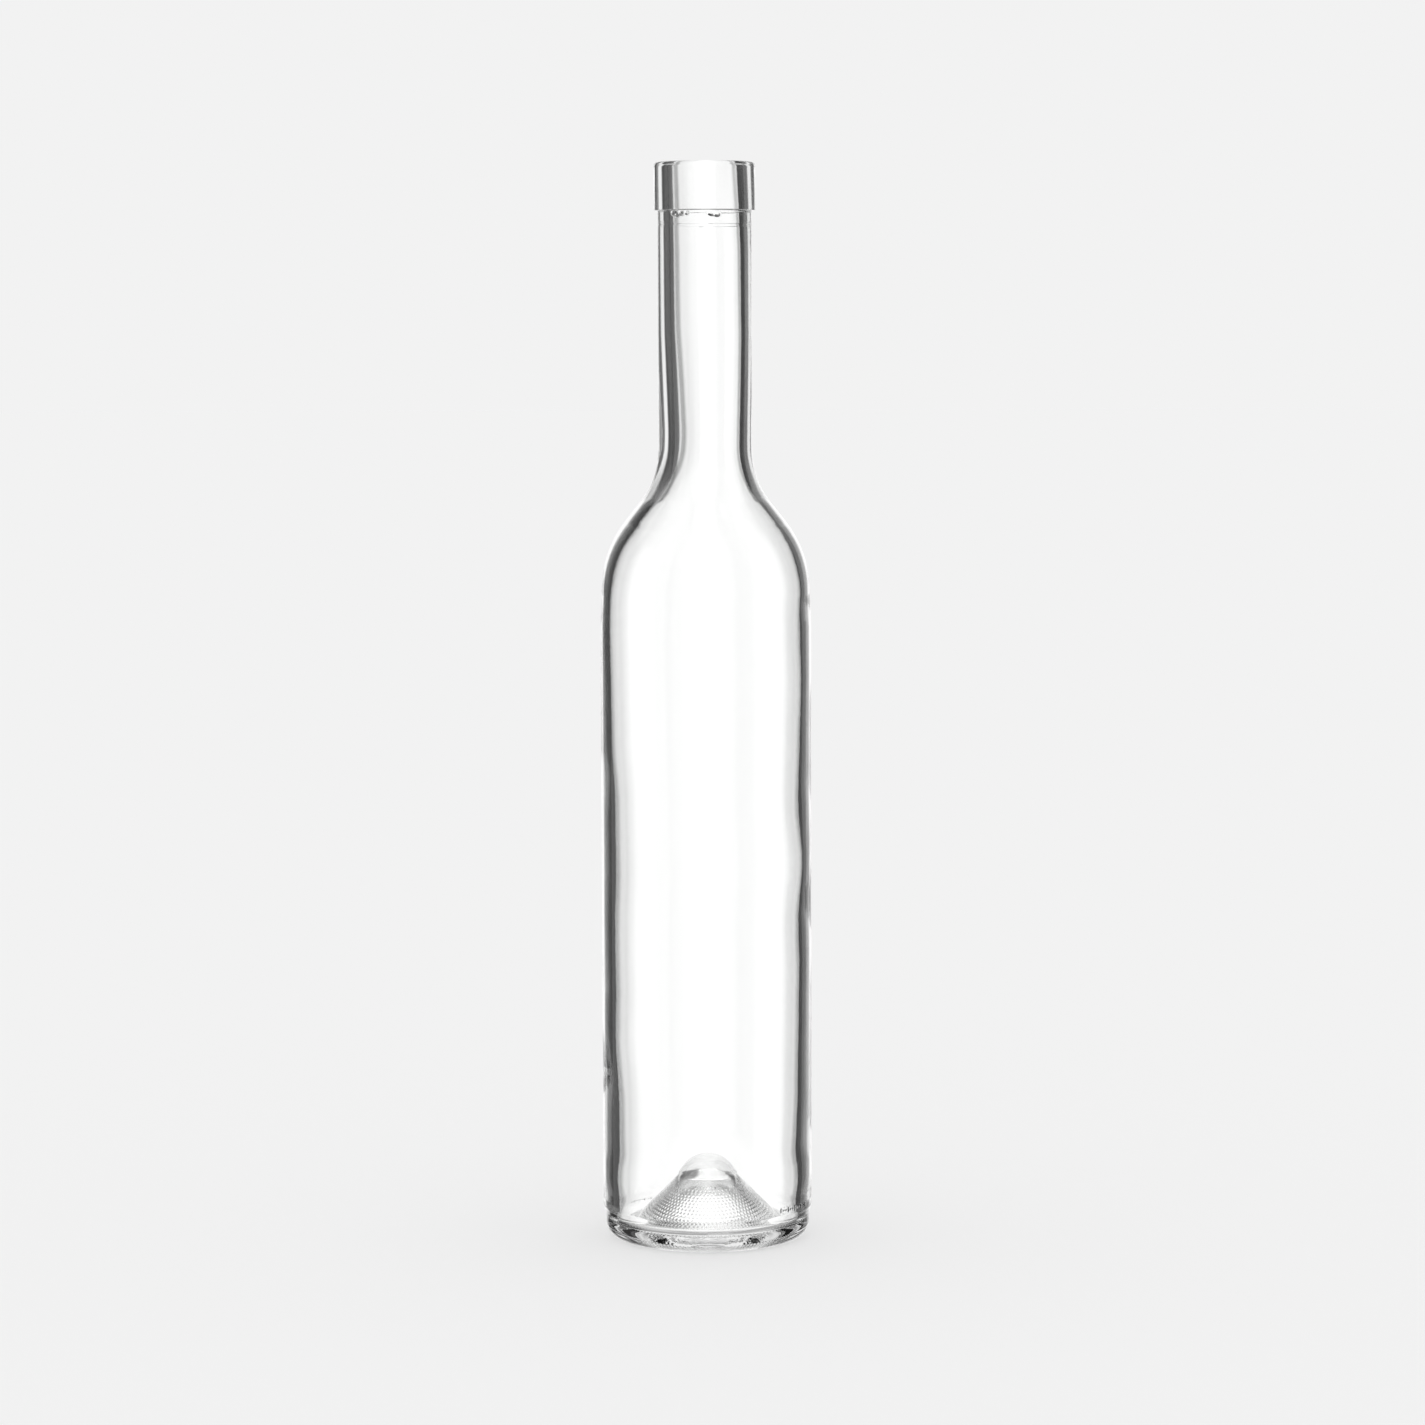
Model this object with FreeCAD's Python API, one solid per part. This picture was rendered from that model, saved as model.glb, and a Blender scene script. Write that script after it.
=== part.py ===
"""Slim clear glass bottle for 500 ml, open and empty, as one hollow solid of revolution.

Millimetres, +Z up. The origin is on the bottle's axis, at the level of the ring that it
stands on. The outline is walked once round the half section: out along the underside, up
the outside, over the mouth, and down the inside to the top of the punt.
"""
import FreeCAD, Part
import math
import os

# Foot and body
HEIGHT = 318.0
BODY_D = 62.2
FOOT_FLAT_D = 48.4       # inner edge of the narrow ring that the bottle stands on
FOOT_EDGE_RADIUS = 2.5
HEEL_D = 60.6            # the foot of the body is slightly recessed
HEEL_RADIUS = 4.8
HEEL_STEP_LOW = 7.6      # levels between which the heel steps out to the body
HEEL_STEP_HIGH = 9.8
STEP_RADIUS = 2.0
BODY_STEP_LOW = 187.4    # levels between which the body steps in to the shoulder
BODY_STEP_HIGH = 191.4
BODY_STEP_RADIUS = 8.0

# Shoulder and neck
SHOULDER_D = 61.4
SHOULDER_BEND = 33.0
FLANK_SLOPE = 52.0       # of the shoulder's straight stretch, in degrees from level
FLANK_TOP = 225.6        # where that stretch would meet the line of the neck
NECK_D = 27.6
NECK_BEND = 24.7

# Cork finish: a plain band round the mouth
BAND_D = 29.8
BAND_HEIGHT = 14.1
BAND_EDGE_RADIUS = 1.1
BAND_UNDERCUT_RADIUS = 0.4
LIP_RADIUS = 1.6

# Bore: the mouth grips the cork, and the neck is wider below it
MOUTH_D = 19.0
BORE_D = 19.7
BORE_WIDE_HIGH = 293.0
BORE_WIDE_LOW = 268.0
THROAT_D = 18.0
THROAT_LEVEL = 240.0
BORE_BLEND = 120.0
THROAT_BLEND = 120.0

# Wall: thin at the shoulder, thicker towards the foot
FLANK_WALL = 3.2
INNER_NECK_BEND = 28.0
INNER_SHOULDER_BEND = 30.0
WALL_TOP = 2.8
WALL_MIDDLE = 3.6
MIDDLE_LEVEL = 80.0
WALL_LOW = 4.7
LOW_LEVEL = 26.0
WALL_BLEND = 900.0
LOW_BLEND = 200.0
FLOOR_LEVEL = 4.8
FLOOR_OUTER_RADIUS = 3.2
FLOOR_INNER_RADIUS = 3.0

# Punt: the dome in the floor, and the hollow under it
PUNT_TOP = 24.5
PUNT_CROWN = 9.3         # radius of the rounded top
PUNT_SLOPE = 48.5
HOLLOW_TOP = 21.1
HOLLOW_CROWN = 8.0
HOLLOW_CROWN_SLOPE = 30.0
HOLLOW_SHOULDER_D = 12.0
HOLLOW_SHOULDER_BEND = 8.0
HOLLOW_SLOPE = 62.0
HOLLOW_FLARE_BEND = 19.0
FOOT_SLOPE = 22.0        # of the underside where it runs out to the foot

SHORTEST_EDGE = 1e-4
MM3_PER_CM3 = 1000.0


def rise(slope):
    """How far a line at this slope in degrees goes up for each millimetre along."""
    return math.tan(math.radians(slope))


def crown_reach(radius, slope):
    """Distance from the axis of the corner that a crown of this radius rounds off."""
    return radius * rise(slope / 2.0)


def corner(r, z, radius=0.0):
    """A corner of the outline, at distance r from the axis, and the radius rounding it."""
    return FreeCAD.Vector(r, 0.0, z), radius


def straight(start, end):
    """The straight edge between two points, or none where the roundings leave no room."""
    if start.distanceToPoint(end) < SHORTEST_EDGE:
        return []
    return [Part.LineSegment(start, end).toShape()]


def rounded_outline(corners):
    """Edges from the first corner to the last, with the corners between them rounded."""
    edges = []
    at = corners[0][0]
    for before, here, after in zip(corners, corners[1:], corners[2:]):
        point, radius = here
        start = end = point
        if radius:
            back = (before[0] - point).normalize()
            ahead = (after[0] - point).normalize()
            half = back.getAngle(ahead) / 2.0
            start = point + back * (radius / math.tan(half))
            end = point + ahead * (radius / math.tan(half))
            inward = (back + ahead).normalize()
            middle = point + inward * (radius / math.sin(half) - radius)
        edges += straight(at, start)
        if radius:
            edges.append(Part.Arc(start, middle, end).toShape())
        at = end
    return edges + straight(at, corners[-1][0])


def underside():
    """From the top of the hollow under the punt out to the ring that the bottle stands on."""
    crown_r = crown_reach(HOLLOW_CROWN, HOLLOW_CROWN_SLOPE)
    shoulder_r = HOLLOW_SHOULDER_D / 2.0
    shoulder_z = HOLLOW_TOP - (shoulder_r - crown_r) * rise(HOLLOW_CROWN_SLOPE)
    foot_r = FOOT_FLAT_D / 2.0
    steeper = rise(HOLLOW_SLOPE) - rise(FOOT_SLOPE)
    above_foot_line = shoulder_z - (foot_r - shoulder_r) * rise(FOOT_SLOPE)
    flare_r = shoulder_r + above_foot_line / steeper
    flare_z = (foot_r - flare_r) * rise(FOOT_SLOPE)
    return [
        corner(0.0, HOLLOW_TOP),
        corner(crown_r, HOLLOW_TOP, HOLLOW_CROWN),
        corner(shoulder_r, shoulder_z, HOLLOW_SHOULDER_BEND),
        corner(flare_r, flare_z, HOLLOW_FLARE_BEND),
        corner(foot_r, 0.0, FOOT_EDGE_RADIUS),
    ]


def outside():
    """Up the heel, the body, the shoulder and the neck to the band round the mouth."""
    heel_r = HEEL_D / 2.0
    body_r = BODY_D / 2.0
    shoulder_r = SHOULDER_D / 2.0
    neck_r = NECK_D / 2.0
    band_r = BAND_D / 2.0
    flank_foot = FLANK_TOP - (shoulder_r - neck_r) * rise(FLANK_SLOPE)
    band_foot = HEIGHT - BAND_HEIGHT
    return [
        corner(heel_r, 0.0, HEEL_RADIUS),
        corner(heel_r, HEEL_STEP_LOW, STEP_RADIUS),
        corner(body_r, HEEL_STEP_HIGH, STEP_RADIUS),
        corner(body_r, BODY_STEP_LOW, BODY_STEP_RADIUS),
        corner(shoulder_r, BODY_STEP_HIGH, BODY_STEP_RADIUS),
        corner(shoulder_r, flank_foot, SHOULDER_BEND),
        corner(neck_r, FLANK_TOP, NECK_BEND),
        corner(neck_r, band_foot, BAND_UNDERCUT_RADIUS),
        corner(band_r, band_foot),
        corner(band_r, HEIGHT, BAND_EDGE_RADIUS),
    ]


def inside():
    """Over the lip, down the bore and the wall to the floor, and up to the punt's top."""
    throat_r = THROAT_D / 2.0
    wall_top_r = BODY_D / 2.0 - WALL_TOP
    wall_low_r = BODY_D / 2.0 - WALL_LOW
    flank_r = NECK_D / 2.0 - FLANK_WALL / math.sin(math.radians(FLANK_SLOPE))
    punt_r = crown_reach(PUNT_CROWN, PUNT_SLOPE)
    punt_foot_r = punt_r + (PUNT_TOP - FLOOR_LEVEL) / rise(PUNT_SLOPE)
    flank_head = FLANK_TOP - (throat_r - flank_r) * rise(FLANK_SLOPE)
    flank_foot = FLANK_TOP - (wall_top_r - flank_r) * rise(FLANK_SLOPE)
    return [
        corner(MOUTH_D / 2.0, HEIGHT, LIP_RADIUS),
        corner(BORE_D / 2.0, BORE_WIDE_HIGH, BORE_BLEND),
        corner(BORE_D / 2.0, BORE_WIDE_LOW, BORE_BLEND),
        corner(throat_r, THROAT_LEVEL, THROAT_BLEND),
        corner(throat_r, flank_head, INNER_NECK_BEND),
        corner(wall_top_r, flank_foot, INNER_SHOULDER_BEND),
        corner(BODY_D / 2.0 - WALL_MIDDLE, MIDDLE_LEVEL, WALL_BLEND),
        corner(wall_low_r, LOW_LEVEL, LOW_BLEND),
        corner(wall_low_r, FLOOR_LEVEL, FLOOR_OUTER_RADIUS),
        corner(punt_foot_r, FLOOR_LEVEL, FLOOR_INNER_RADIUS),
        corner(punt_r, PUNT_TOP, PUNT_CROWN),
        corner(0.0, PUNT_TOP),
    ]


def bottle():
    """The half section turned once round the bottle's axis."""
    corners = underside() + outside() + inside()
    hollow_top = corners[0][0]
    punt_top = corners[-1][0]
    edges = rounded_outline(corners) + straight(punt_top, hollow_top)
    section = Part.Face(Part.Wire(edges))
    origin = FreeCAD.Vector(0.0, 0.0, 0.0)
    axis = FreeCAD.Vector(0.0, 0.0, 1.0)
    return section.revolve(origin, axis, 360.0)


os.makedirs("parts", exist_ok=True)
solid = bottle()
solid.exportStep("parts/bottle.step")
print("valid", solid.isValid(), "glass cm3", round(solid.Volume / MM3_PER_CM3, 1))
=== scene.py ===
"""Looks of the slim clear glass bottle: its glass, a plain pale floor, a studio and a camera.

Metres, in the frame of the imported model. The bottle is lathed here from nearly the same half
section as its solid, at a finer grain and with a softer step above the body. It gets what the
solid leaves out: the seams of its mould, the lumps under the band, the stippled hollow, the
knurled foot, two rows of plain marks and the uneven wall inside.
"""
import bpy
import cmath
import math
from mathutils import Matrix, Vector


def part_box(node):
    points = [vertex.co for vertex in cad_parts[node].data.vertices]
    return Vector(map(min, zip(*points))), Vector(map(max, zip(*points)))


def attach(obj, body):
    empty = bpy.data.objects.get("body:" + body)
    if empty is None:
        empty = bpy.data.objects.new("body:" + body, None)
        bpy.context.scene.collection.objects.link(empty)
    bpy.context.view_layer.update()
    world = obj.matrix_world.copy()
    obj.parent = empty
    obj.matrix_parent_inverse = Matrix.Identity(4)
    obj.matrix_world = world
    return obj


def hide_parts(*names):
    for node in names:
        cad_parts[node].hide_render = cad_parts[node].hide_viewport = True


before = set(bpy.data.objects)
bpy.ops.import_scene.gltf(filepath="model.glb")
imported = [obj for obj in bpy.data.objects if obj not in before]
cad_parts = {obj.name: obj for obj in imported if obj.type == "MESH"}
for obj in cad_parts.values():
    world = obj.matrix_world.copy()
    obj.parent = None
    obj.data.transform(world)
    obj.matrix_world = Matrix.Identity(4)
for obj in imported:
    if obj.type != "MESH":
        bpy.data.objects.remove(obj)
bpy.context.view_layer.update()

from types import SimpleNamespace as Group
from mathutils import Quaternion, Vector

MM = 0.001
LOW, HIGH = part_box("bottle")
HEIGHT = HIGH[2] / MM
BODY_R = HIGH[0] / MM

# Everything down to the marks is in millimetres: distances from the axis, and levels.
# Foot and body
FOOT_FLAT_R = 24.2
FOOT_EDGE_RADIUS = 2.5
HEEL_R = 30.3
HEEL_RADIUS = 4.8
HEEL_STEP_LOW = 7.6
HEEL_STEP_HIGH = 9.8
BODY_STEP_LOW = 183.0
BODY_STEP_HIGH = 191.4
BODY_STEP_RADIUS = 40.0
STEP_RADIUS = 2.0

# Shoulder and neck
SHOULDER_R = 30.7
SHOULDER_BEND = 33.0
FLANK_SLOPE = 52.0
FLANK_TOP = 225.6
NECK_R = 13.8
NECK_BEND = 24.7
PARTING_LEVEL = 299.8
PARTING_HEIGHT = 0.1
PARTING_HALF_WIDTH = 0.25

# Band round the mouth
BAND_R = 14.9
BAND_HEIGHT = 14.1
BAND_EDGE_RADIUS = 1.1
BAND_UNDERCUT_RADIUS = 0.4
BAND_FOOT_RADIUS = 0.1
LIP_RADIUS = 1.6

# Bore
MOUTH_R = 9.5
BORE_R = 9.85
BORE_WIDE_HIGH = 293.0
BORE_WIDE_LOW = 268.0
THROAT_R = 9.0
THROAT_LEVEL = 240.0
BORE_BLEND = 120.0
THROAT_BLEND = 120.0

# Wall
FLANK_WALL = 3.2
INNER_NECK_BEND = 28.0
INNER_SHOULDER_BEND = 30.0
WALL_TOP = 2.8
WALL_MIDDLE = 3.6
MIDDLE_LEVEL = 80.0
WALL_LOW = 4.7
LOW_LEVEL = 26.0
WALL_BLEND = 900.0
LOW_BLEND = 200.0
FLOOR_LEVEL = 4.8
FLOOR_OUTER_RADIUS = 3.2
FLOOR_INNER_RADIUS = 3.0

# Punt
PUNT_TOP = 24.5
PUNT_CROWN = 9.3
PUNT_SLOPE = 48.5
HOLLOW_TOP = 21.1
HOLLOW_CROWN = 8.0
HOLLOW_CROWN_SLOPE = 30.0
HOLLOW_SHOULDER_R = 6.0
HOLLOW_SHOULDER_BEND = 8.0
HOLLOW_SLOPE = 62.0
HOLLOW_FLARE_BEND = 19.0
FOOT_SLOPE = 22.0

# What the mould and the blowing leave on the glass. Bearings are in degrees from the front
# towards the right, and a pair without a word on it is where something begins and ends.
SEAMS = (7.5, -172.5)
SEAM_HEIGHT = 0.02
SEAM_HALF_WIDTH = 0.6            # degrees
SEAM_FADES = (60.0, 100.0)       # levels between which the seams come up from nothing
LUMPS = [                        # bearing, level, half width along the neck's round, height
    (-40.0, 302.9, 1.3, 0.9),
    (-35.0, 302.3, 1.0, 0.7),
    (-29.0, 302.8, 1.1, 0.9),
    (-22.0, 302.9, 0.9, 0.6),
    (4.0, 302.9, 1.0, 0.5),
    (9.0, 302.6, 1.4, 0.9),
    (15.0, 302.4, 1.5, 1.0),
]
LUMP_HEIGHT = 0.8
LUMP_HALF_LEVEL = 0.9
LUMP_DEPTH = 3 * LUMP_HALF_LEVEL  # how far below the band the lumps reach
LUMP_CLEAR = 0.45                # below the band, where its undercut begins
LUMP_ROUND = 10                  # degrees either way that a lump's finer grain covers
EXTRA_LEFT = [                   # level, and how much thicker than usual the wall is there
    (10, 0.0), (17, -0.4), (25, 0.1), (40, 0.2), (58, -0.2), (75, 0.25), (93, 0.3),
    (111, 0.6), (129, 0.7), (147, 0.05), (164, -0.1), (182, -0.2), (198, 0.4), (215, 0.3),
    (240, 0.9), (289, 0.5), (304, 0.3), (317, 0.0),
]
EXTRA_RIGHT = [
    (10, 0.0), (17, -0.5), (25, 0.0), (40, -0.2), (58, -0.15), (75, 0.0), (93, 0.3),
    (111, -0.5), (129, 0.6), (147, 0.2), (164, -0.1), (182, 0.3), (198, 0.3), (215, -0.2),
    (240, -0.8), (289, -0.5), (304, -0.3), (317, 0.0),
]
STIPPLE_FROM = complex(9.0, 13.2)  # radius + level * 1j of the uppermost row
STIPPLE_FROM_R = 8.4
STIPPLE_TO_R = 16.8
STIPPLE_PITCH = 1.1
STIPPLE_RADIUS = 0.42
STIPPLE_HEIGHT = 0.18
STIPPLE_REPEATS = 6              # the dots of a row come in a whole number of so many
KNURLS = 116
KNURL_DEPTH = 0.16
KNURL_R = (24.3, 27.6)
FRONT_MARKS = (43.0, 69.0, 10.4, 12.4)   # bearings and levels that they lie between
BACK_MARKS = (-141.0, -116.0, 5.0, 6.8)
MARK_PITCH = 1.1
MARK_RADIUS = 0.45
MARK_HEIGHT = 0.16
BAR_EVERY = 3
BAR_HALF_LENGTH = 0.45

# Grain of the lathed mesh
AROUND = 144
BELTS = 3
LONGEST_RUN_OUTSIDE = 12.0
LONGEST_RUN_INSIDE = 6.0
LONGEST_RUN_UNDER = 0.75
SUPPORT = 0.4            # first and last step of a long run, which keeps it looking straight
FINEST_TURN = math.radians(5.0)
SMALL_RADIUS = 1.9
SMALL_TURN = math.radians(11.25)
SMOOTH_UP_TO = math.radians(40.0)
SEAM_CUTS = 3            # extra cuts where the relief is fine
STIPPLE_CUTS = 2
KNURL_CUTS = 2
MARK_COLUMN_CUTS = 1
MARK_CUTS = 3
LUMP_CUTS = 3
WELD = 1e-6              # metres, or millimetres along the outline

# How the surfaces of the bottle are told apart
FACING = 0.3             # least part of a normal that points out from the axis, or in to it
FACING_DOWN = 0.2
NEAR = 1.0               # room for relief above a surface's own level
ABOVE_FOOT = 0.1
FULL_TURN = 360


def rise(slope):
    """How far a line at this slope in degrees goes up for each unit along."""
    return math.tan(math.radians(slope))


def underside():
    """Corners from the top of the hollow under the punt out to the foot, each with its radius."""
    crown_r = HOLLOW_CROWN * rise(HOLLOW_CROWN_SLOPE / 2)
    shoulder_z = HOLLOW_TOP - (HOLLOW_SHOULDER_R - crown_r) * rise(HOLLOW_CROWN_SLOPE)
    above_foot_line = shoulder_z - (FOOT_FLAT_R - HOLLOW_SHOULDER_R) * rise(FOOT_SLOPE)
    flare_r = HOLLOW_SHOULDER_R + above_foot_line / (rise(HOLLOW_SLOPE) - rise(FOOT_SLOPE))
    flare_z = (FOOT_FLAT_R - flare_r) * rise(FOOT_SLOPE)
    return [
        (complex(0, HOLLOW_TOP), 0),
        (complex(crown_r, HOLLOW_TOP), HOLLOW_CROWN),
        (complex(HOLLOW_SHOULDER_R, shoulder_z), HOLLOW_SHOULDER_BEND),
        (complex(flare_r, flare_z), HOLLOW_FLARE_BEND),
        (complex(FOOT_FLAT_R, 0), FOOT_EDGE_RADIUS),
    ]


def belts(r, low, high):
    """Flat corners that part a straight wall into even belts, to carry fine relief."""
    return [(complex(r, low + (high - low) * belt / BELTS), 0) for belt in range(BELTS + 1)]


def outside():
    """Corners up the heel, the body, the shoulder and the neck to the band."""
    flank_foot = FLANK_TOP - (SHOULDER_R - NECK_R) * rise(FLANK_SLOPE)
    band_foot = HEIGHT - BAND_HEIGHT
    return [
        (complex(HEEL_R, 0), HEEL_RADIUS),
        *belts(HEEL_R, *BACK_MARKS[2:]),
        (complex(HEEL_R, HEEL_STEP_LOW), STEP_RADIUS),
        (complex(BODY_R, HEEL_STEP_HIGH), STEP_RADIUS),
        *belts(BODY_R, *FRONT_MARKS[2:]),
        (complex(BODY_R, BODY_STEP_LOW), BODY_STEP_RADIUS),
        (complex(SHOULDER_R, BODY_STEP_HIGH), BODY_STEP_RADIUS),
        (complex(SHOULDER_R, flank_foot), SHOULDER_BEND),
        (complex(NECK_R, FLANK_TOP), NECK_BEND),
        (complex(NECK_R, PARTING_LEVEL - PARTING_HALF_WIDTH), 0),
        (complex(NECK_R + PARTING_HEIGHT, PARTING_LEVEL), 0),
        (complex(NECK_R, PARTING_LEVEL + PARTING_HALF_WIDTH), 0),
        *belts(NECK_R, band_foot - LUMP_DEPTH, band_foot - LUMP_CLEAR),
        (complex(NECK_R, band_foot), BAND_UNDERCUT_RADIUS),
        (complex(BAND_R, band_foot), BAND_FOOT_RADIUS),
        (complex(BAND_R, HEIGHT), BAND_EDGE_RADIUS),
    ]


def inside():
    """Corners over the lip, down the bore and the wall to the floor, and up the punt."""
    wall_top_r = BODY_R - WALL_TOP
    wall_low_r = BODY_R - WALL_LOW
    flank_r = NECK_R - FLANK_WALL / math.sin(math.radians(FLANK_SLOPE))
    punt_r = PUNT_CROWN * rise(PUNT_SLOPE / 2)
    punt_foot_r = punt_r + (PUNT_TOP - FLOOR_LEVEL) / rise(PUNT_SLOPE)
    flank_head = FLANK_TOP - (THROAT_R - flank_r) * rise(FLANK_SLOPE)
    flank_foot = FLANK_TOP - (wall_top_r - flank_r) * rise(FLANK_SLOPE)
    return [
        (complex(MOUTH_R, HEIGHT), LIP_RADIUS),
        (complex(BORE_R, BORE_WIDE_HIGH), BORE_BLEND),
        (complex(BORE_R, BORE_WIDE_LOW), BORE_BLEND),
        (complex(THROAT_R, THROAT_LEVEL), THROAT_BLEND),
        (complex(THROAT_R, flank_head), INNER_NECK_BEND),
        (complex(wall_top_r, flank_foot), INNER_SHOULDER_BEND),
        (complex(BODY_R - WALL_MIDDLE, MIDDLE_LEVEL), WALL_BLEND),
        (complex(wall_low_r, LOW_LEVEL), LOW_BLEND),
        (complex(wall_low_r, FLOOR_LEVEL), FLOOR_OUTER_RADIUS),
        (complex(punt_foot_r, FLOOR_LEVEL), FLOOR_INNER_RADIUS),
        (complex(punt_r, PUNT_TOP), PUNT_CROWN),
        (complex(0, PUNT_TOP), 0),
    ]


def place(point):
    """Where a point of the half section, which is radius + level * 1j, is in metres."""
    return Vector((point.real * MM, 0, point.imag * MM))


def longest_run(start, end):
    """Longest step between two points: fine under the bottle, then finer inside than outside."""
    if max(start.imag, end.imag) <= HOLLOW_TOP and max(start.real, end.real) < FOOT_FLAT_R:
        return LONGEST_RUN_UNDER
    return LONGEST_RUN_INSIDE if end.imag < start.imag else LONGEST_RUN_OUTSIDE


def run(start, end):
    """Extrudes the selected vertex straight from start to end, with short steps at the ends."""
    length = abs(end - start)
    longest = longest_run(start, end)
    ends = SUPPORT if length > 4 * SUPPORT and longest > 2 * SUPPORT else 0
    steps = math.ceil((length - 2 * ends) / longest)
    middle = [(length - 2 * ends) / steps] * steps
    for step in [ends] * bool(ends) + middle + [ends] * bool(ends):
        move = place((end - start) / length * step)
        bpy.ops.mesh.extrude_vertices_move(TRANSFORM_OT_translate={"value": move})


def draw_outline(name, corners):
    """A wire through the corners, with a spun arc at each that has a radius."""
    at = corners[0][0]
    bpy.ops.object.select_all(action="DESELECT")
    bpy.ops.mesh.primitive_plane_add(size=MM, location=place(at))
    piece = bpy.context.object
    piece.name = name
    bpy.ops.object.transform_apply(location=True)
    bpy.ops.object.mode_set(mode="EDIT")
    bpy.ops.mesh.select_mode(type="VERT")
    bpy.ops.mesh.merge(type="CENTER")
    for (before, _), (point, radius), (after, _) in zip(corners, corners[1:], corners[2:]):
        ahead = (point - before) / abs(point - before)
        turn = cmath.phase((after - point) / ahead)
        reach = radius * math.tan(abs(turn) / 2)
        start = point - ahead * reach
        if abs(start - at) > WELD:
            run(at, start)
        at = start
        if radius:
            centre = start + ahead * math.copysign(radius, turn) * 1j
            at = centre + (start - centre) * cmath.exp(turn * 1j)
            finest = FINEST_TURN if radius > SMALL_RADIUS else SMALL_TURN
            by_length = radius * abs(turn) / longest_run(start, at)
            steps = max(2, math.ceil(abs(turn) / finest), math.ceil(by_length))
            bpy.ops.mesh.spin(steps=steps, angle=turn, center=place(centre), axis=(0, 1, 0))
    if abs(corners[-1][0] - at) > WELD:
        run(at, corners[-1][0])
    return piece


def lathe(name, corners):
    """A closed body turned round the Z axis from its half section."""
    piece = draw_outline(name, corners)
    bpy.ops.mesh.select_all(action="SELECT")
    bpy.ops.mesh.spin(steps=AROUND, angle=2 * math.pi, center=(0, 0, 0), axis=(0, 0, 1))
    bpy.ops.mesh.select_all(action="SELECT")
    bpy.ops.mesh.remove_doubles(threshold=WELD)
    bpy.ops.mesh.normals_make_consistent(inside=False)
    bpy.ops.object.mode_set(mode="OBJECT")
    bpy.ops.object.shade_smooth_by_angle(angle=SMOOTH_UP_TO)
    return piece


def bearing(co):
    """Degrees round the axis from the bottle's front, positive towards its right-hand side."""
    return math.degrees(math.atan2(co.x, -co.y))


def apart(degrees, other):
    """How far one bearing is from another, from -180 to 180."""
    half_turn = FULL_TURN / 2
    return (degrees - other + half_turn) % FULL_TURN - half_turn


def hump(offset, half_width):
    """1 at no offset, falling smoothly to 0 at the half width and beyond."""
    if abs(offset) >= half_width:
        return 0.0
    return (1 + math.cos(math.pi * offset / half_width)) / 2


def eased(table, level):
    """The table's value at a level, changing smoothly between its entries and 0 beyond them."""
    for (low, before), (high, after) in zip(table, table[1:]):
        if low <= level < high:
            return after + (before - after) * hump(level - low, high - low)
    return 0.0


def is_outer(co, normal):
    """Whether a place is on the outside of the heel, the body, the neck or the band."""
    r = math.hypot(co.x, co.y)
    in_punt = r < BODY_R - WALL_LOW and co.z < PUNT_TOP + NEAR
    outwards = normal.x * co.x + normal.y * co.y > FACING * r
    return outwards and co.z > ABOVE_FOOT and not in_punt


def is_inner(co, normal):
    """Whether a place is on the wall inside, from the floor up to the lip."""
    inwards = normal.x * co.x + normal.y * co.y < -FACING * math.hypot(co.x, co.y)
    return inwards and co.z > FLOOR_LEVEL


def is_under(co, normal):
    """Whether a place is in the hollow under the punt."""
    low_down = co.z < HOLLOW_TOP + NEAR and math.hypot(co.x, co.y) < FOOT_FLAT_R
    return low_down and normal.z < -FACING_DOWN


def select_faces(piece, wanted):
    """Goes into edit mode with just those faces selected whose centre and normal are wanted."""
    bpy.ops.object.mode_set(mode="EDIT")
    bpy.ops.mesh.select_mode(type="FACE")
    bpy.ops.mesh.select_all(action="DESELECT")
    bpy.ops.object.mode_set(mode="OBJECT")
    for face in piece.data.polygons:
        face.select = wanted(face.center / MM, face.normal)
    bpy.ops.object.mode_set(mode="EDIT")


def refine(piece, cuts, wanted):
    """Cuts up the wanted faces both ways, keeping them on the curve of the glass."""
    select_faces(piece, wanted)
    bpy.ops.mesh.subdivide(number_cuts=cuts, smoothness=1.0)
    bpy.ops.object.mode_set(mode="OBJECT")


def refine_round(piece, cuts, wanted):
    """Cuts up the wanted faces into narrower columns only."""
    select_faces(piece, wanted)
    bpy.ops.mesh.select_mode(type="EDGE")
    bpy.ops.object.mode_set(mode="OBJECT")
    for edge in piece.data.edges:
        start, end = (piece.data.vertices[index].co for index in edge.vertices)
        edge.select = edge.select and abs(end.z - start.z) < WELD
    bpy.ops.object.mode_set(mode="EDIT")
    bpy.ops.mesh.subdivide(number_cuts=cuts, smoothness=1.0)
    bpy.ops.object.mode_set(mode="OBJECT")


def relief(piece, name, height, weight, direction="NORMAL"):
    """Moves the surface by height times a weight, which depends on the place on the bottle."""
    group = piece.vertex_groups.new(name=name)
    for vertex in piece.data.vertices:
        amount = weight(vertex.co / MM, vertex.normal)
        if amount > 0:
            group.add([vertex.index], amount, "REPLACE")
    modifier = piece.modifiers.new(name, "DISPLACE")
    modifier.vertex_group = name
    modifier.direction = direction
    modifier.mid_level = 0
    modifier.strength = height * MM
    bpy.ops.object.modifier_apply(modifier=name)
    piece.vertex_groups.remove(piece.vertex_groups[name])


def uneven_wall(piece):
    """Thick and thin places in the wall, which differ from the left side to the right."""
    def thicker(co, normal):
        if not is_inner(co, normal):
            return 0.0
        to_right = (1 + co.x / math.hypot(co.x, co.y)) / 2
        return to_right * eased(EXTRA_RIGHT, co.z) + (1 - to_right) * eased(EXTRA_LEFT, co.z)

    def thinner(co, normal):
        return -thicker(co, normal)

    relief(piece, "thicker", 1.0, thicker)
    relief(piece, "thinner", -1.0, thinner)


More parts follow.
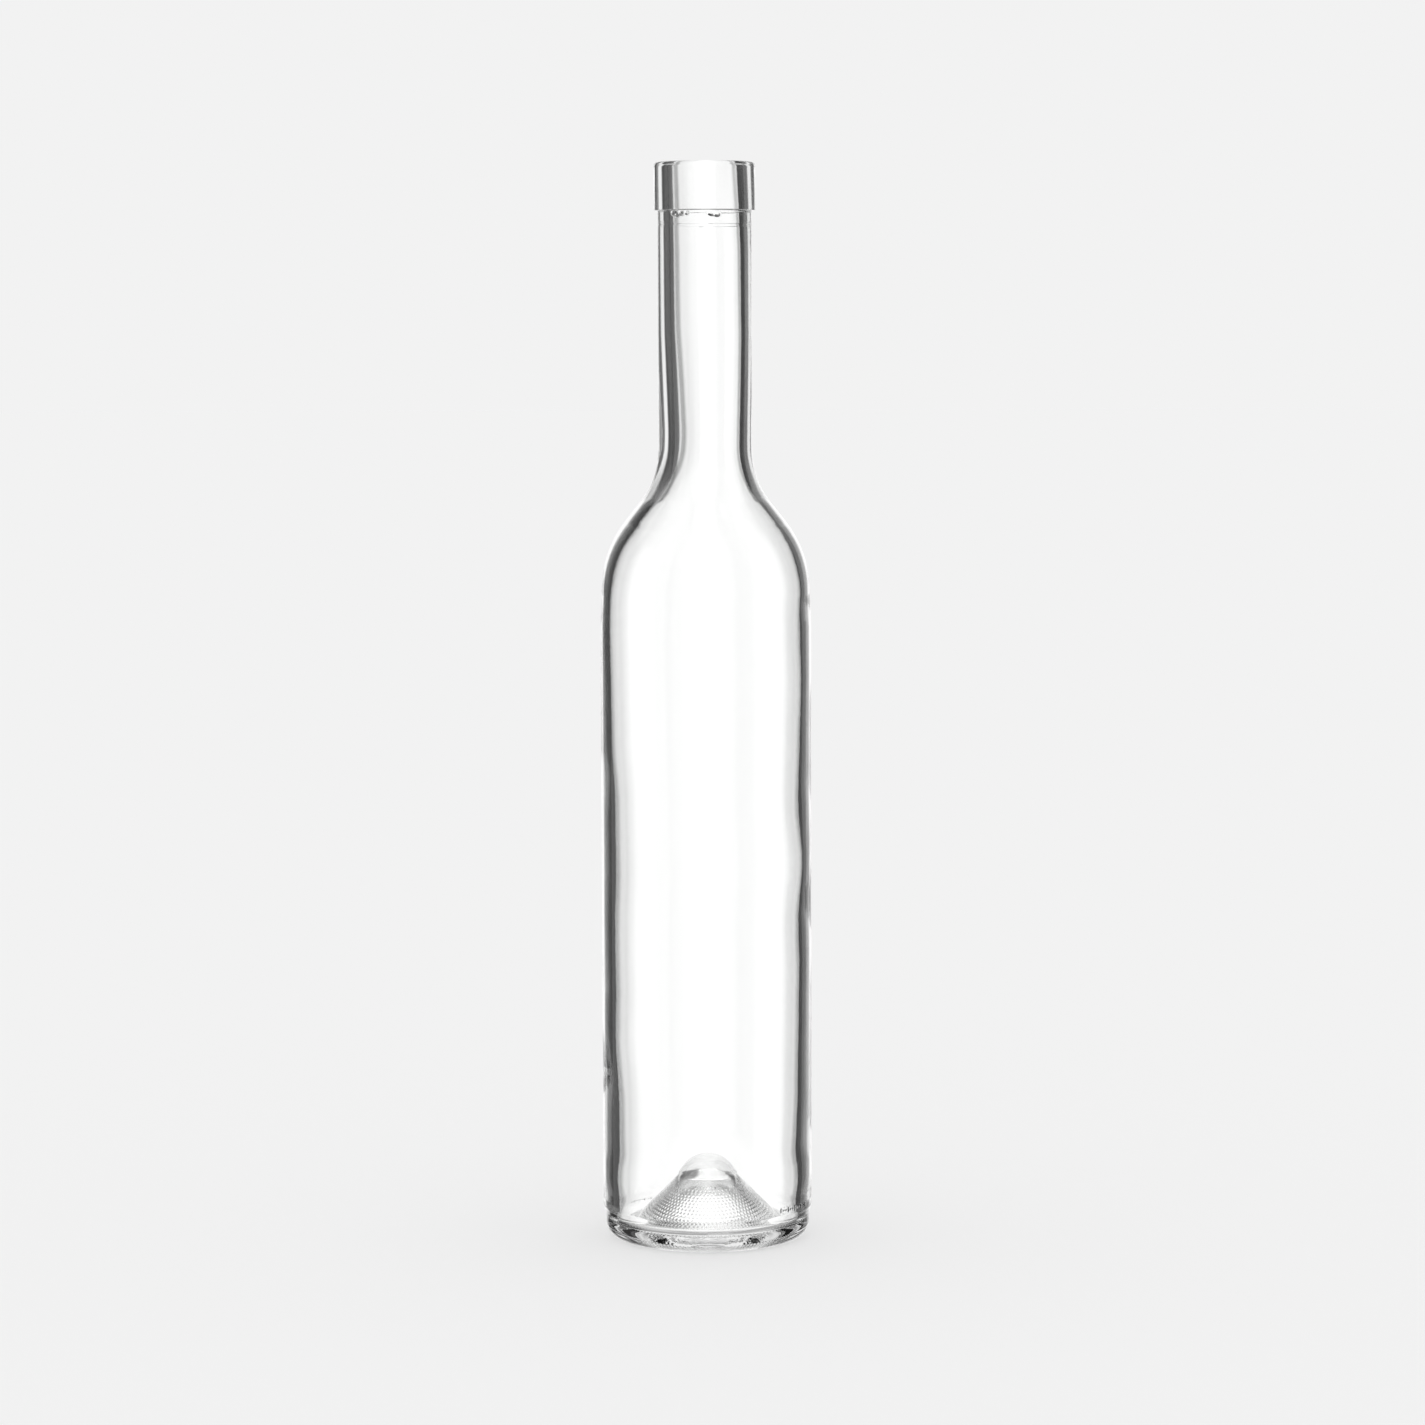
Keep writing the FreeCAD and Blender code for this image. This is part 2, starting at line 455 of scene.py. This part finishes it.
def raise_seams(piece):
    """The two upright lines where the halves of the mould met."""
    top = HEIGHT - BAND_HEIGHT
    fades_from, full = SEAM_FADES

    def near(centre, normal):
        reach = FULL_TURN / AROUND
        close = any(abs(apart(bearing(centre), seam)) < reach for seam in SEAMS)
        return close and is_outer(centre, normal) and fades_from < centre.z < top

    def line(co, normal):
        if not is_outer(co, normal) or co.z > top:
            return 0.0
        faded = 1 - hump(min(co.z, full) - fades_from, full - fades_from)
        sharp = max(hump(apart(bearing(co), seam), SEAM_HALF_WIDTH) for seam in SEAMS)
        return sharp * faded if co.z > fades_from else 0.0

    refine_round(piece, SEAM_CUTS, near)
    relief(piece, "seams", SEAM_HEIGHT, line)


def stipple_under(piece):
    """Rows of fine dots round the flank of the hollow under the punt."""
    def under_flank(co, normal):
        r = math.hypot(co.x, co.y)
        return is_under(co, normal) and STIPPLE_FROM_R < r < STIPPLE_TO_R

    def dots(co, normal):
        if not under_flank(co, normal):
            return 0.0
        r = math.hypot(co.x, co.y)
        down = abs(complex(r, co.z) - STIPPLE_FROM) / STIPPLE_PITCH
        count = round(2 * math.pi * r / STIPPLE_PITCH / STIPPLE_REPEATS) * STIPPLE_REPEATS
        turn = bearing(co) / FULL_TURN * count + round(down) / 2
        offset = math.hypot(down - round(down), turn - round(turn))
        return hump(offset * STIPPLE_PITCH, STIPPLE_RADIUS)

    refine(piece, STIPPLE_CUTS, under_flank)
    relief(piece, "stipple", STIPPLE_HEIGHT, dots)


def knurl_foot(piece):
    """Short radial grooves round the ring that the bottle stands on."""
    inner_r, outer_r = KNURL_R

    def on_ring(co, normal):
        on_foot = co.z < FLOOR_LEVEL and normal.z < -FACING_DOWN
        return on_foot and inner_r < math.hypot(co.x, co.y) < outer_r

    def grooves(co, normal):
        if not on_ring(co, normal):
            return 0.0
        middle, half = (inner_r + outer_r) / 2, (outer_r - inner_r) / 2
        turn = bearing(co) / FULL_TURN * KNURLS
        return hump(turn - round(turn), 0.5) * hump(math.hypot(co.x, co.y) - middle, half) ** 0.5

    refine_round(piece, KNURL_CUTS, on_ring)
    relief(piece, "knurls", -KNURL_DEPTH, grooves)


def raise_marks(piece, group):
    """A row of plain dots, with every third one drawn out into an upright bar."""
    first, last, low, high = group

    def on_strip(centre, normal):
        along = apart(bearing(centre), first)
        return is_outer(centre, normal) and 0 < along < last - first and low < centre.z < high

    def dots(co, normal):
        along = apart(bearing(co), first)
        count = round(math.radians(last - first) * math.hypot(co.x, co.y) / MARK_PITCH)
        turn = along / (last - first) * count
        index = math.floor(turn)
        if not (is_outer(co, normal) and 0 <= index < count):
            return 0.0
        bar = 0.0 if index % BAR_EVERY else BAR_HALF_LENGTH
        up = max(0.0, abs(co.z - (low + high) / 2) - bar)
        return hump(math.hypot((turn - index - 0.5) * MARK_PITCH, up), MARK_RADIUS)

    refine_round(piece, MARK_COLUMN_CUTS, on_strip)
    refine(piece, MARK_CUTS, on_strip)
    relief(piece, "marks", MARK_HEIGHT, dots)


def raise_lumps(piece):
    """The uneven flash that the neck's mould left right under the band."""
    foot = HEIGHT - BAND_HEIGHT

    def near(centre, normal):
        low, high = foot - LUMP_DEPTH, foot - LUMP_CLEAR
        round_here = any(abs(apart(bearing(centre), at)) < LUMP_ROUND for at, *_ in LUMPS)
        return round_here and low < centre.z < high and is_outer(centre, normal)

    def lumps(co, normal):
        if not is_outer(co, normal) or co.z > foot:
            return 0.0
        total = 0.0
        for at, level, half_width, height in LUMPS:
            along = math.radians(apart(bearing(co), at)) * NECK_R / half_width
            total += height * hump(math.hypot(along, (co.z - level) / LUMP_HALF_LEVEL), 1.0)
        return min(1.0, total)

    refine(piece, LUMP_CUTS, near)
    relief(piece, "lumps", LUMP_HEIGHT, lumps)


class Signal:
    """A value on its way through a node tree: arithmetic on it adds Math nodes."""

    def __init__(self, nodes, socket):
        self.nodes = nodes
        self.socket = socket

    def __add__(self, other):
        return self.nodes.math("ADD", self, other)

    def __sub__(self, other):
        return self.nodes.math("SUBTRACT", self, other)

    def __rsub__(self, other):
        return self.nodes.math("SUBTRACT", other, self)

    def __mul__(self, other):
        return self.nodes.math("MULTIPLY", self, other)

    __radd__ = __add__
    __rmul__ = __mul__


class Nodes:
    """The node tree of a material or a world, emptied and built up again."""

    def __init__(self, owner):
        owner.use_nodes = True
        self.tree = owner.node_tree
        self.tree.nodes.clear()

    def add(self, kind, settings=None, inputs=None, output=0):
        """A node of this kind, its settings made first, and one of its outputs."""
        node = self.tree.nodes.new("ShaderNode" + kind)
        for name, value in (settings or {}).items():
            setattr(node, name, value)
        for name, value in (inputs or {}).items():
            if isinstance(value, Signal):
                self.tree.links.new(value.socket, node.inputs[name])
            else:
                node.inputs[name].default_value = value
        return Signal(self, node.outputs[output]) if node.outputs else None

    def math(self, operation, *values):
        return self.add("Math", {"operation": operation}, dict(enumerate(values)))

    def ramp(self, value, low, high):
        """0 where value is under low and 1 where it is over high, eased between them."""
        inputs = {"Value": value, "From Min": low, "From Max": high}
        return self.add("MapRange", {"interpolation_type": "SMOOTHSTEP"}, inputs)

    def choose(self, factor, without, full):
        """without where the factor is 0, full where it is 1, and their mix between."""
        return without + factor * (full - without)


# Glass: how much light the dimmest and the clearest of it passes, the size in metres of the
# slow drift between them, and how strong the fine grain of its skin and its roughness are
GLASSES = {
    "fire_polished_glass": (0.975, 0.99, 0.022, 1.0, 0.01),
    "blown_inside_glass": (0.98, 0.992, 0.035, 0.5, 0.008),
    "stippled_mould_glass": (0.93, 0.96, 0.012, 2.0, 0.05),
}
GREEN_CAST = 0.004       # how much more green than red the dimmest glass passes
DRIFT_DETAIL = 2.0
DRIFT_PULL = 2           # how much more the drift tilts the surface than the grain does
SKIN_SCALE = 400.0
SKIN_DETAIL = 3.0
SKIN_STRENGTH = 0.15
SKIN_DEPTH = 0.00005
GLASS_IOR = 1.52


def glass(name, dimmest, clearest, drift_size, grain, rough):
    """Clear flint glass. Its tint and skin vary slowly, over a finer grain."""
    material = bpy.data.materials.new(name)
    nodes = Nodes(material)
    spot = nodes.add("TexCoord", output="Object")
    drift = nodes.add(
        "TexNoise", inputs={"Vector": spot, "Scale": 1 / drift_size, "Detail": DRIFT_DETAIL}
    )
    skin = nodes.add(
        "TexNoise", inputs={"Vector": spot, "Scale": SKIN_SCALE, "Detail": SKIN_DETAIL}
    )
    tint = nodes.add(
        "Mix",
        {"data_type": "RGBA"},
        {0: drift, 6: (dimmest, dimmest + GREEN_CAST, dimmest, 1.0), 7: (clearest,) * 3 + (1.0,)},
        output=2,
    )
    bump = nodes.add(
        "Bump",
        inputs={
            "Strength": SKIN_STRENGTH,
            "Distance": SKIN_DEPTH,
            "Height": skin * grain + drift * DRIFT_PULL,
        },
    )
    shader = nodes.add(
        "BsdfPrincipled",
        inputs={
            "Base Color": tint,
            "Roughness": skin * rough,
            "IOR": GLASS_IOR,
            "Transmission Weight": 1.0,
            "Normal": bump,
        },
    )
    nodes.add("OutputMaterial", inputs={"Surface": shader})
    return material


def finish_glass(piece):
    """A fire-polished outside, a blown inside and a matt, stippled underside."""
    places = [None, is_inner, is_under]
    for slot, (name, wanted) in enumerate(zip(GLASSES, places)):
        piece.data.materials.append(glass(name, *GLASSES[name]))
        if wanted:
            select_faces(piece, wanted)
            piece.active_material_index = slot
            bpy.ops.object.material_slot_assign()
            bpy.ops.object.mode_set(mode="OBJECT")


FLOOR_SIZE = 40
FLOOR_SHADE = 0.888
FLOOR_GLOW = 0.6         # how much of its shade the floor keeps where no light falls


def add_floor():
    """A wide pale floor at the level of the foot. Glass looks through it to the studio."""
    bpy.ops.object.select_all(action="DESELECT")
    bpy.ops.mesh.primitive_plane_add(size=FLOOR_SIZE, location=(0, 0, LOW[2]))
    floor = bpy.context.object
    floor.name = "floor"
    material = bpy.data.materials.new("pale_floor")
    nodes = Nodes(material)
    shade = (FLOOR_SHADE,) * 3 + (1.0,)
    passing = nodes.add("LightPath", output="Is Transmission Ray")
    mirrored = nodes.add("LightPath", output="Is Glossy Ray")
    paper = nodes.add("BsdfDiffuse", inputs={"Color": shade})
    clear = nodes.add("BsdfTransparent")
    lit = nodes.add("Emission", inputs={"Color": shade})
    sheet = nodes.add("MixShader", inputs={0: FLOOR_GLOW, 1: paper, 2: lit})
    seen_in_glass = nodes.math("MAXIMUM", passing, mirrored)
    surface = nodes.add("MixShader", inputs={0: seen_in_glass, 1: sheet, 2: clear})
    nodes.add("OutputMaterial", inputs={"Surface": surface})
    floor.data.materials.append(material)


# Studio: a bright wall between dark cards. Places are in degrees, either of rise or sideways
# from the middle of one of four like sides, and a pair of them is the span over which
# something comes in. A light of 1 is plain white. Bright is the light ahead, beside is next to
# it, dim is a card, and a pair of lights is for the left and the right of the middle.
SIDE = (38.0, -52.0)     # the bearings that a side ends at
HALF = (90.0, -90.0)     # the same for half of the way round
MIDDLE = (-2.0, 2.0)
UPWARDS = (4.0, 12.0)
STEEP = (28.0, 40.0)     # up or down alike
AHEAD = 1.0              # light that comes in by any other way than those below

# Mirrored off the outside
OFF_OUTSIDE = Group(bright=1.1, card=(22.0, 28.0), dim=(0.15, 0.5))
# Through the wall only, straight and mirrored
IN_WALL = Group(bright=1.1, card=(14.0, 20.0), dim=(0.35, 1.0), steep=0.7)
MIRRORED_IN_WALL = Group(
    bright=1.0, bright_upwards=0.75, edge=13.5, edge_upwards=2, spread=(-6.0, 6.0),
    dim_left=0.045, dim_right=(0.2, 0.13), dim_right_span=(20.0, 34.0), steep=(0.4, 0.6),
)
# Through the inside of the bottle, straight and mirrored
THROUGH = Group(
    bright=1.16, fall=(4.0, 18.0), beside=(0.92, 1.02), dim=(0.35, 0.5),
    card=(19.0, 27.0), card_right=2, card_end=(41.0, 35.0), beyond=0.8, beyond_from=(33.0, 38.0),
    steep=0.95, down=0.5, down_from=(-62.0, -72.0),
    up=0.03, up_from=(12.0, 18.0), up_to=(60.0, 50.0),
)
MIRRORED_THROUGH = Group(
    bright=1.0, card=(21.0, 27.0), dim=(0.35, 0.9), far=(36.0, 44.0), far_dim=(0.1, 0.5),
    falling=(-33.0, -38.0), falling_dim=(0.1, 0.8),
)
# Through the punt, straight and mirrored
IN_PUNT = Group(
    bright=1.25, fall=(5.0, 10.0), beside=(0.25, 1.25), dim=(0.08, 0.3),
    steep=1.9, steep_within=(12.0, 6.0),
    ripple=0.55, ripple_depth=0.45, ripple_level=0.75, ripple_below=(-14.0, -20.0),
)
MIRRORED_IN_PUNT = Group(
    bright=1.0, fall=(15.0, 21.0), beside=(0.2, 1.0), card=(20.0, 28.0), dim=(0.04, 0.3),
)
TURNED_OFTEN = 0.9       # light from rays that turned five times or more in the glass


class Studio:
    """The light that reaches the bottle, by direction and by what a ray has been through."""

    def __init__(self, nodes):
        self.nodes = nodes
        toward = nodes.add("TexCoord", output="Generated")
        parts = nodes.add("SeparateXYZ", inputs={"Vector": toward}).socket.node.outputs
        x, y, z = (Signal(nodes, parts[name]) for name in "XYZ")
        azimuth = nodes.math("DEGREES", nodes.math("ARCTAN2", x, y))
        side = nodes.math("WRAP", azimuth, *SIDE)
        self.off = nodes.math("ABSOLUTE", side)
        self.off_half = nodes.math("ABSOLUTE", nodes.math("WRAP", azimuth, *HALF))
        self.right = nodes.ramp(side, *MIDDLE)
        self.rising = nodes.math("DEGREES", nodes.math("ARCSINE", z))
        self.upwards = nodes.ramp(self.rising, *UPWARDS)
        self.steep = nodes.ramp(nodes.math("ABSOLUTE", self.rising), *STEEP)
        beside = nodes.ramp(self.off - self.right * THROUGH.card_right, *THROUGH.card)
        self.card = beside * nodes.ramp(self.off, *THROUGH.card_end)

    def after(self, kind, count):
        """1 for a ray that has been mirrored, or has gone through a surface, so many times."""
        depth = self.nodes.add("LightPath", output=kind + " Depth")
        return self.nodes.math("GREATER_THAN", depth, count - 0.5)

    def sided(self, lights):
        """The first light to the left of the middle and the second to the right."""
        return self.nodes.choose(self.right, *lights)

    def beside(self, span, middle, lights):
        """The middle's light, and past the span the light of the left or the right."""
        return self.nodes.choose(self.nodes.ramp(self.off, *span), middle, self.sided(lights))

    def off_outside(self):
        """Seen in the sheen of the outside."""
        card = self.nodes.ramp(self.off_half, *OFF_OUTSIDE.card)
        return self.nodes.choose(card, OFF_OUTSIDE.bright, self.sided(OFF_OUTSIDE.dim))

    def in_wall(self):
        """Seen through the thick of the wall, along the bottle's edges and in its foot."""
        light = self.beside(IN_WALL.card, IN_WALL.bright, IN_WALL.dim)
        return self.nodes.choose(self.steep, light, IN_WALL.steep)

    def mirrored_in_wall(self):
        """Seen in the inner face of the wall, which draws the dark bands along the edges."""
        nodes, way = self.nodes, MIRRORED_IN_WALL
        edge = self.upwards * way.edge_upwards + way.edge
        bright = nodes.choose(self.upwards, way.bright, way.bright_upwards)
        dim_right = nodes.choose(nodes.ramp(self.off, *way.dim_right_span), *way.dim_right)
        dim = nodes.choose(self.right, way.dim_left, dim_right)
        light = nodes.choose(nodes.ramp(self.off - edge, *way.spread), bright, dim)
        return nodes.choose(self.steep, light, self.sided(way.steep))

    def through(self):
        """Seen straight through the bottle, where it is clear."""
        nodes, way = self.nodes, THROUGH
        light = self.beside(way.fall, way.bright, way.beside)
        light = nodes.choose(self.card, light, self.sided(way.dim))
        beyond = nodes.choose(self.card, way.beyond, light)
        light = nodes.choose(nodes.ramp(self.off, *way.beyond_from), light, beyond)
        light = nodes.choose(self.steep, light, way.steep)
        light = nodes.choose(nodes.ramp(self.rising, *way.down_from), light, way.down)
        up = nodes.ramp(self.rising, *way.up_from) * nodes.ramp(self.rising, *way.up_to)
        return nodes.choose(up, light, way.up)

    def mirrored_through(self):
        """Seen through the bottle and then in its far wall or its foot."""
        nodes, way = self.nodes, MIRRORED_THROUGH
        light = self.beside(way.card, way.bright, way.dim)
        light = self.beside(way.far, light, way.far_dim)
        falling = nodes.ramp(self.rising, *way.falling)
        return nodes.choose(falling, light, self.sided(way.falling_dim))

    def in_punt(self):
        """Seen through the bottle and the punt. The light from below comes in waves."""
        nodes, way = self.nodes, IN_PUNT
        light = self.beside(way.fall, way.bright, way.beside)
        light = nodes.choose(self.card, light, self.sided(way.dim))
        steep_ahead = self.steep * nodes.ramp(self.off, *way.steep_within)
        light = nodes.choose(steep_ahead, light, way.steep)
        wave = nodes.math("SINE", self.rising * way.ripple)
        ripple = wave * way.ripple_depth + way.ripple_level
        return nodes.choose(nodes.ramp(self.rising, *way.ripple_below), light, light * ripple)

    def mirrored_in_punt(self):
        """Seen through the bottle and in the skin of the hollow under the punt."""
        way = MIRRORED_IN_PUNT
        light = self.beside(way.fall, way.bright, way.beside)
        return self.beside(way.card, light, way.dim)

    def light(self):
        """All of it, with plain white for the camera and the floor's own shade for the floor."""
        choose, mirrored = self.nodes.choose, self.after("Glossy", 1)
        inside = self.after("Transmission", 3)
        light = choose(
            mirrored,
            choose(inside, self.in_wall(), self.through()),
            choose(inside, self.mirrored_in_wall(), self.mirrored_through()),
        )
        punt = choose(mirrored, self.in_punt(), self.mirrored_in_punt())
        light = choose(self.after("Transmission", 5), light, punt)
        light = choose(self.after("Glossy", 5), light, TURNED_OFTEN)
        outside = choose(mirrored, AHEAD, self.off_outside())
        light = choose(self.after("Transmission", 1), outside, light)
        camera = self.nodes.add("LightPath", output="Is Camera Ray")
        plain = self.nodes.math("MAXIMUM", camera, self.after("Diffuse", 1))
        return choose(plain, light, choose(camera, AHEAD, FLOOR_SHADE))


def add_studio():
    """A bright wall behind the bottle between dark cards, the same from each of four sides.

    What a ray has been through decides how far it sees the bright wall: mirrored off the
    outside, through the wall, through the inside, or through the punt.
    """
    world = bpy.data.worlds.new("studio")
    bpy.context.scene.world = world
    nodes = Nodes(world)
    white = (1, 1, 1, 1)
    light = Studio(nodes).light()
    background = nodes.add("Background", inputs={"Color": white, "Strength": light})
    nodes.add("OutputWorld", inputs={"Surface": background})


CAMERA_DISTANCE = 1.25
CAMERA_HEIGHT = 0.261
CAMERA_ASIDE = 0.0019
AIM_LEVEL = 0.1564
LENS = 107.15
ROLL = math.radians(-0.18)
MOST_TURNS = 20          # how often light may turn inside the glass


def add_camera():
    """A long lens a little above the middle of the bottle, looking slightly down."""
    data = bpy.data.cameras.new("camera")
    data.lens = LENS
    camera = bpy.data.objects.new("camera", data)
    bpy.context.collection.objects.link(camera)
    camera.location = (CAMERA_ASIDE, -CAMERA_DISTANCE, CAMERA_HEIGHT)
    ahead = Vector((CAMERA_ASIDE, 0, AIM_LEVEL)) - camera.location
    camera.rotation_mode = "QUATERNION"
    camera.rotation_quaternion = ahead.to_track_quat("-Z", "Y") @ Quaternion((0, 0, 1), ROLL)
    bpy.context.scene.camera = camera


add_camera()
add_floor()
add_studio()
bottle = lathe("clear_bottle", underside() + outside() + inside())
uneven_wall(bottle)
raise_seams(bottle)
stipple_under(bottle)
knurl_foot(bottle)
raise_marks(bottle, FRONT_MARKS)
raise_marks(bottle, BACK_MARKS)
raise_lumps(bottle)
finish_glass(bottle)
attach(bottle, "root")
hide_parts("bottle")
bpy.context.scene.view_settings.view_transform = "Standard"
light_paths = bpy.context.scene.cycles
light_paths.glossy_bounces = light_paths.transmission_bounces = MOST_TURNS
light_paths.max_bounces = MOST_TURNS
